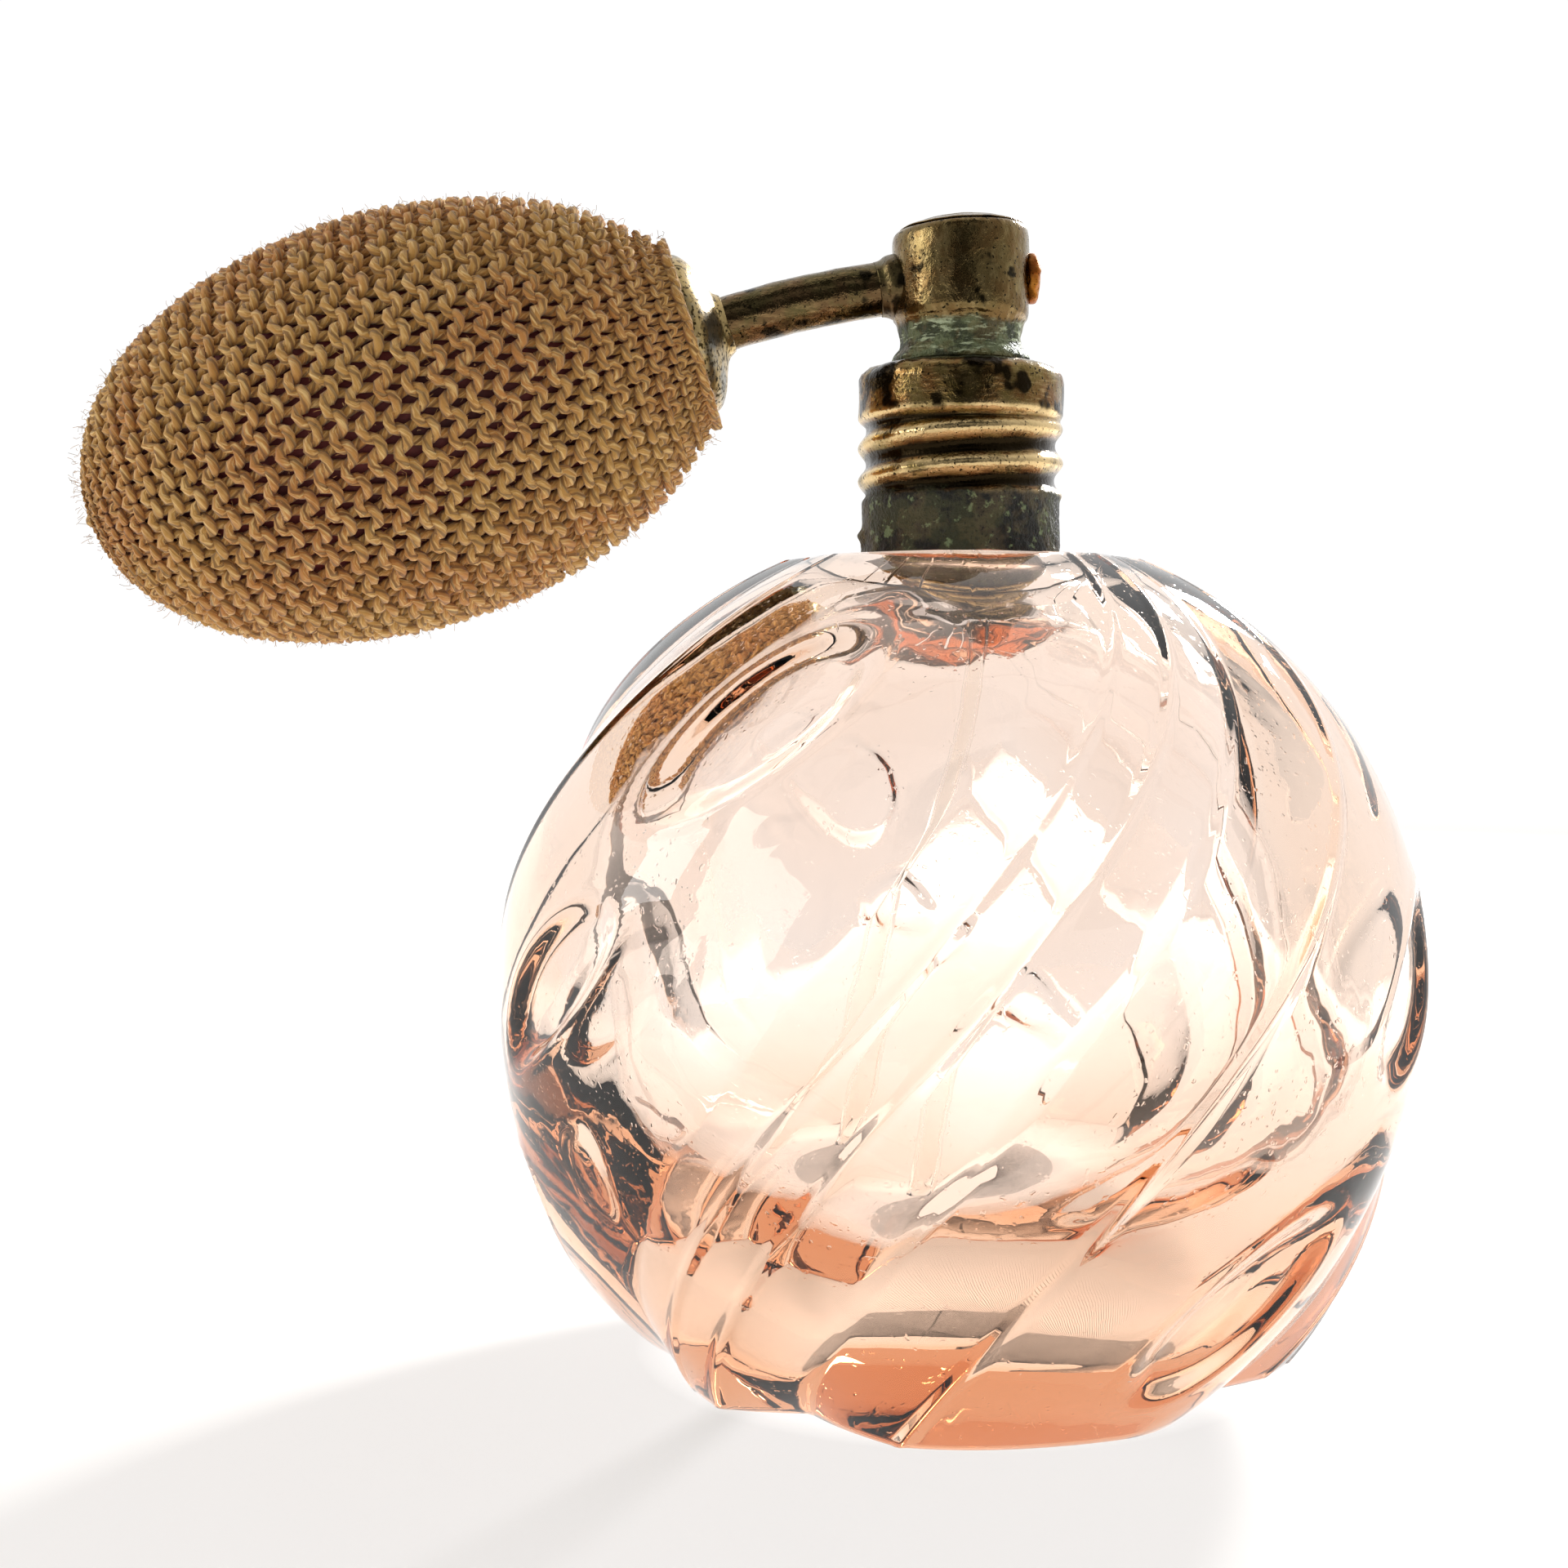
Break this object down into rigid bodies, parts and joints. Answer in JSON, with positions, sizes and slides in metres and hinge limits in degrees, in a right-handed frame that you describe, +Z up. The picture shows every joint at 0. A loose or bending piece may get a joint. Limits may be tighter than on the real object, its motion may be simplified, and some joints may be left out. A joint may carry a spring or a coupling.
{
  "type": "perfume atomiser",
  "caption": "Round swirled-glass perfume bottle with a screw collar, a swivelling spray head on a curved air arm, and a net-covered rubber squeeze bulb.",
  "frame": {"origin": "centre of the bottle's flat foot, on the bottle's axis", "axes": "+Z up along the bottle's axis; the spray leaves along +X, the arm and bulb reach to -X"},
  "size_m": [0.1014, 0.0695, 0.0876],
  "materials": {
    "pressed_glass": "clear pale peach pressed glass, deeper orange where thick",
    "clear_tube": "clear drawn tube",
    "antique_brass": "tarnished rolled brass with dark patches",
    "head_brass": "tarnished turned brass, verdigris at the waist",
    "arm_brass": "tarnished drawn brass tube",
    "pale_gilt": "pale worn gilt, speckled",
    "ochre_tip": "orange-brown oxidised tip",
    "solder": "dull soft solder",
    "plain_brass": "satin turned brass",
    "steel_ball": "polished steel ball",
    "cork_seal": "compressed leather seal",
    "grey_rubber": "matte rubber sleeve",
    "maroon_rubber": "matte dark maroon rubber",
    "cotton_net": "golden-brown knitted cotton cord"
  },
  "bodies": {
    "bottle": {"bottle_glass": "pressed_glass"},
    "neck_seal": {"neck_washer": "cork_seal"},
    "collar": {"screw_collar": "antique_brass"},
    "head": {"head_stem": "plain_brass", "head_body": "head_brass", "head_cap": "head_brass", "nozzle_tip": "ochre_tip", "spray_jet": "plain_brass", "jet_block": "plain_brass", "liquid_riser": "plain_brass", "dip_sleeve": "grey_rubber", "dip_tube": "clear_tube", "air_arm": "arm_brass", "arm_solder": "solder", "arm_nipple": "plain_brass"},
    "bulb_seal": {"bulb_washer": "cork_seal"},
    "bulb": {"ferrule_cup": "pale_gilt", "ferrule_socket": "plain_brass", "outlet_valve_seat": "plain_brass", "rubber_bulb": "maroon_rubber", "net_cover": "cotton_net", "net_edge_cord": "cotton_net"},
    "bulb_tail": {"intake_valve_body": "plain_brass", "intake_retainer": "plain_brass", "net_tail_knot": "cotton_net"},
    "outlet_ball": {"outlet_valve_ball": "steel_ball"},
    "intake_ball": {"intake_valve_ball": "steel_ball"}
  },
  "joints": [
    {"name": "mount_rise", "type": "slide", "parent": "bottle", "child": "neck_seal", "axis": [0, 0, 1], "range_m": [0, 0.0065]},
    {"name": "collar_turn", "type": "hinge", "parent": "neck_seal", "child": "collar", "pos_m": [0, 0, 0.068], "axis": [0, 0, 1], "range_deg": [0, 901]},
    {"name": "head_swivel", "type": "hinge", "parent": "neck_seal", "child": "head", "pos_m": [0, 0, 0.076], "axis": [0, 0, 1], "continuous": true},
    {"name": "bulb_unscrew", "type": "slide", "parent": "head", "child": "bulb_seal", "axis": [-0.9563, 0, -0.2924], "range_m": [0, 0.0031]},
    {"name": "bulb_turn", "type": "hinge", "parent": "bulb_seal", "child": "bulb", "pos_m": [-0.01808, 0, 0.07822], "axis": [-0.9563, 0, -0.2924], "range_deg": [0, 1440]},
    {"name": "bulb_squeeze", "type": "slide", "parent": "bulb", "child": "bulb_tail", "axis": [0.9563, 0, 0.2924], "range_m": [0, 0.009], "stiffness_N_per_m": 400, "deforming": ["rubber_bulb", "net_cover"]},
    {"name": "outlet_ball_lift", "type": "slide", "parent": "bulb", "child": "outlet_ball", "axis": [0.9563, 0, 0.2924], "range_m": [0, 0.0008]},
    {"name": "intake_ball_lift", "type": "slide", "parent": "bulb_tail", "child": "intake_ball", "axis": [0.9563, 0, 0.2924], "range_m": [0, 0.0008]}
  ],
  "couplings": [
    {"joint": "collar_turn", "follows": "mount_rise", "rad_per_m": 2416.6},
    {"joint": "bulb_unscrew", "follows": "bulb_turn", "m_per_rad": 0.00011937}
  ]
}
